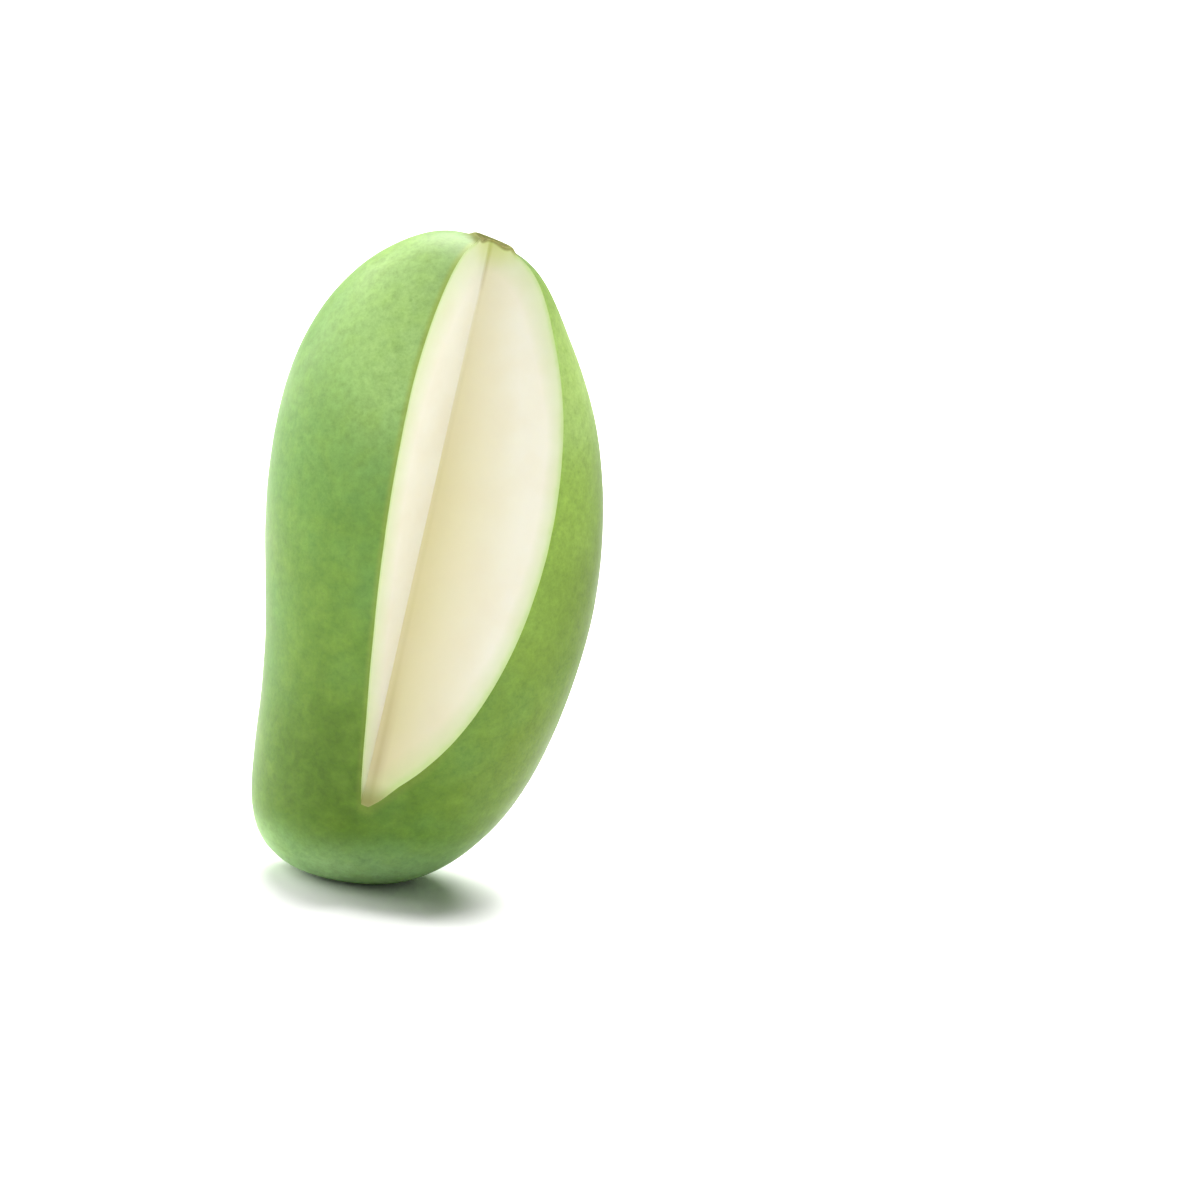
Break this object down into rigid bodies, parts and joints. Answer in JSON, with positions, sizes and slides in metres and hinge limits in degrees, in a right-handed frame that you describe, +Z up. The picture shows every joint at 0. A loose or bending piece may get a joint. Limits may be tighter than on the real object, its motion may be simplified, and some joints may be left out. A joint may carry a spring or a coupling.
{
  "type": "mango fruit with a wedge cut out",
  "caption": "Green mango standing on its blunt end, with a deep V-shaped wedge of flesh cut out down its front and a corky scar where the stalk was.",
  "frame": {"origin": "middle of the small flat spot under the fruit, at floor level", "axes": "+Z up, from the flat spot towards the stem scar; -Y is the front, where the wedge was cut out; +X to the right"},
  "size_m": [0.0748, 0.0639, 0.1469],
  "materials": {
    "mango_skin": "satin waxy fruit skin"
  },
  "bodies": {
    "root": {"mango": "mango_skin"}
  },
  "joints": []
}
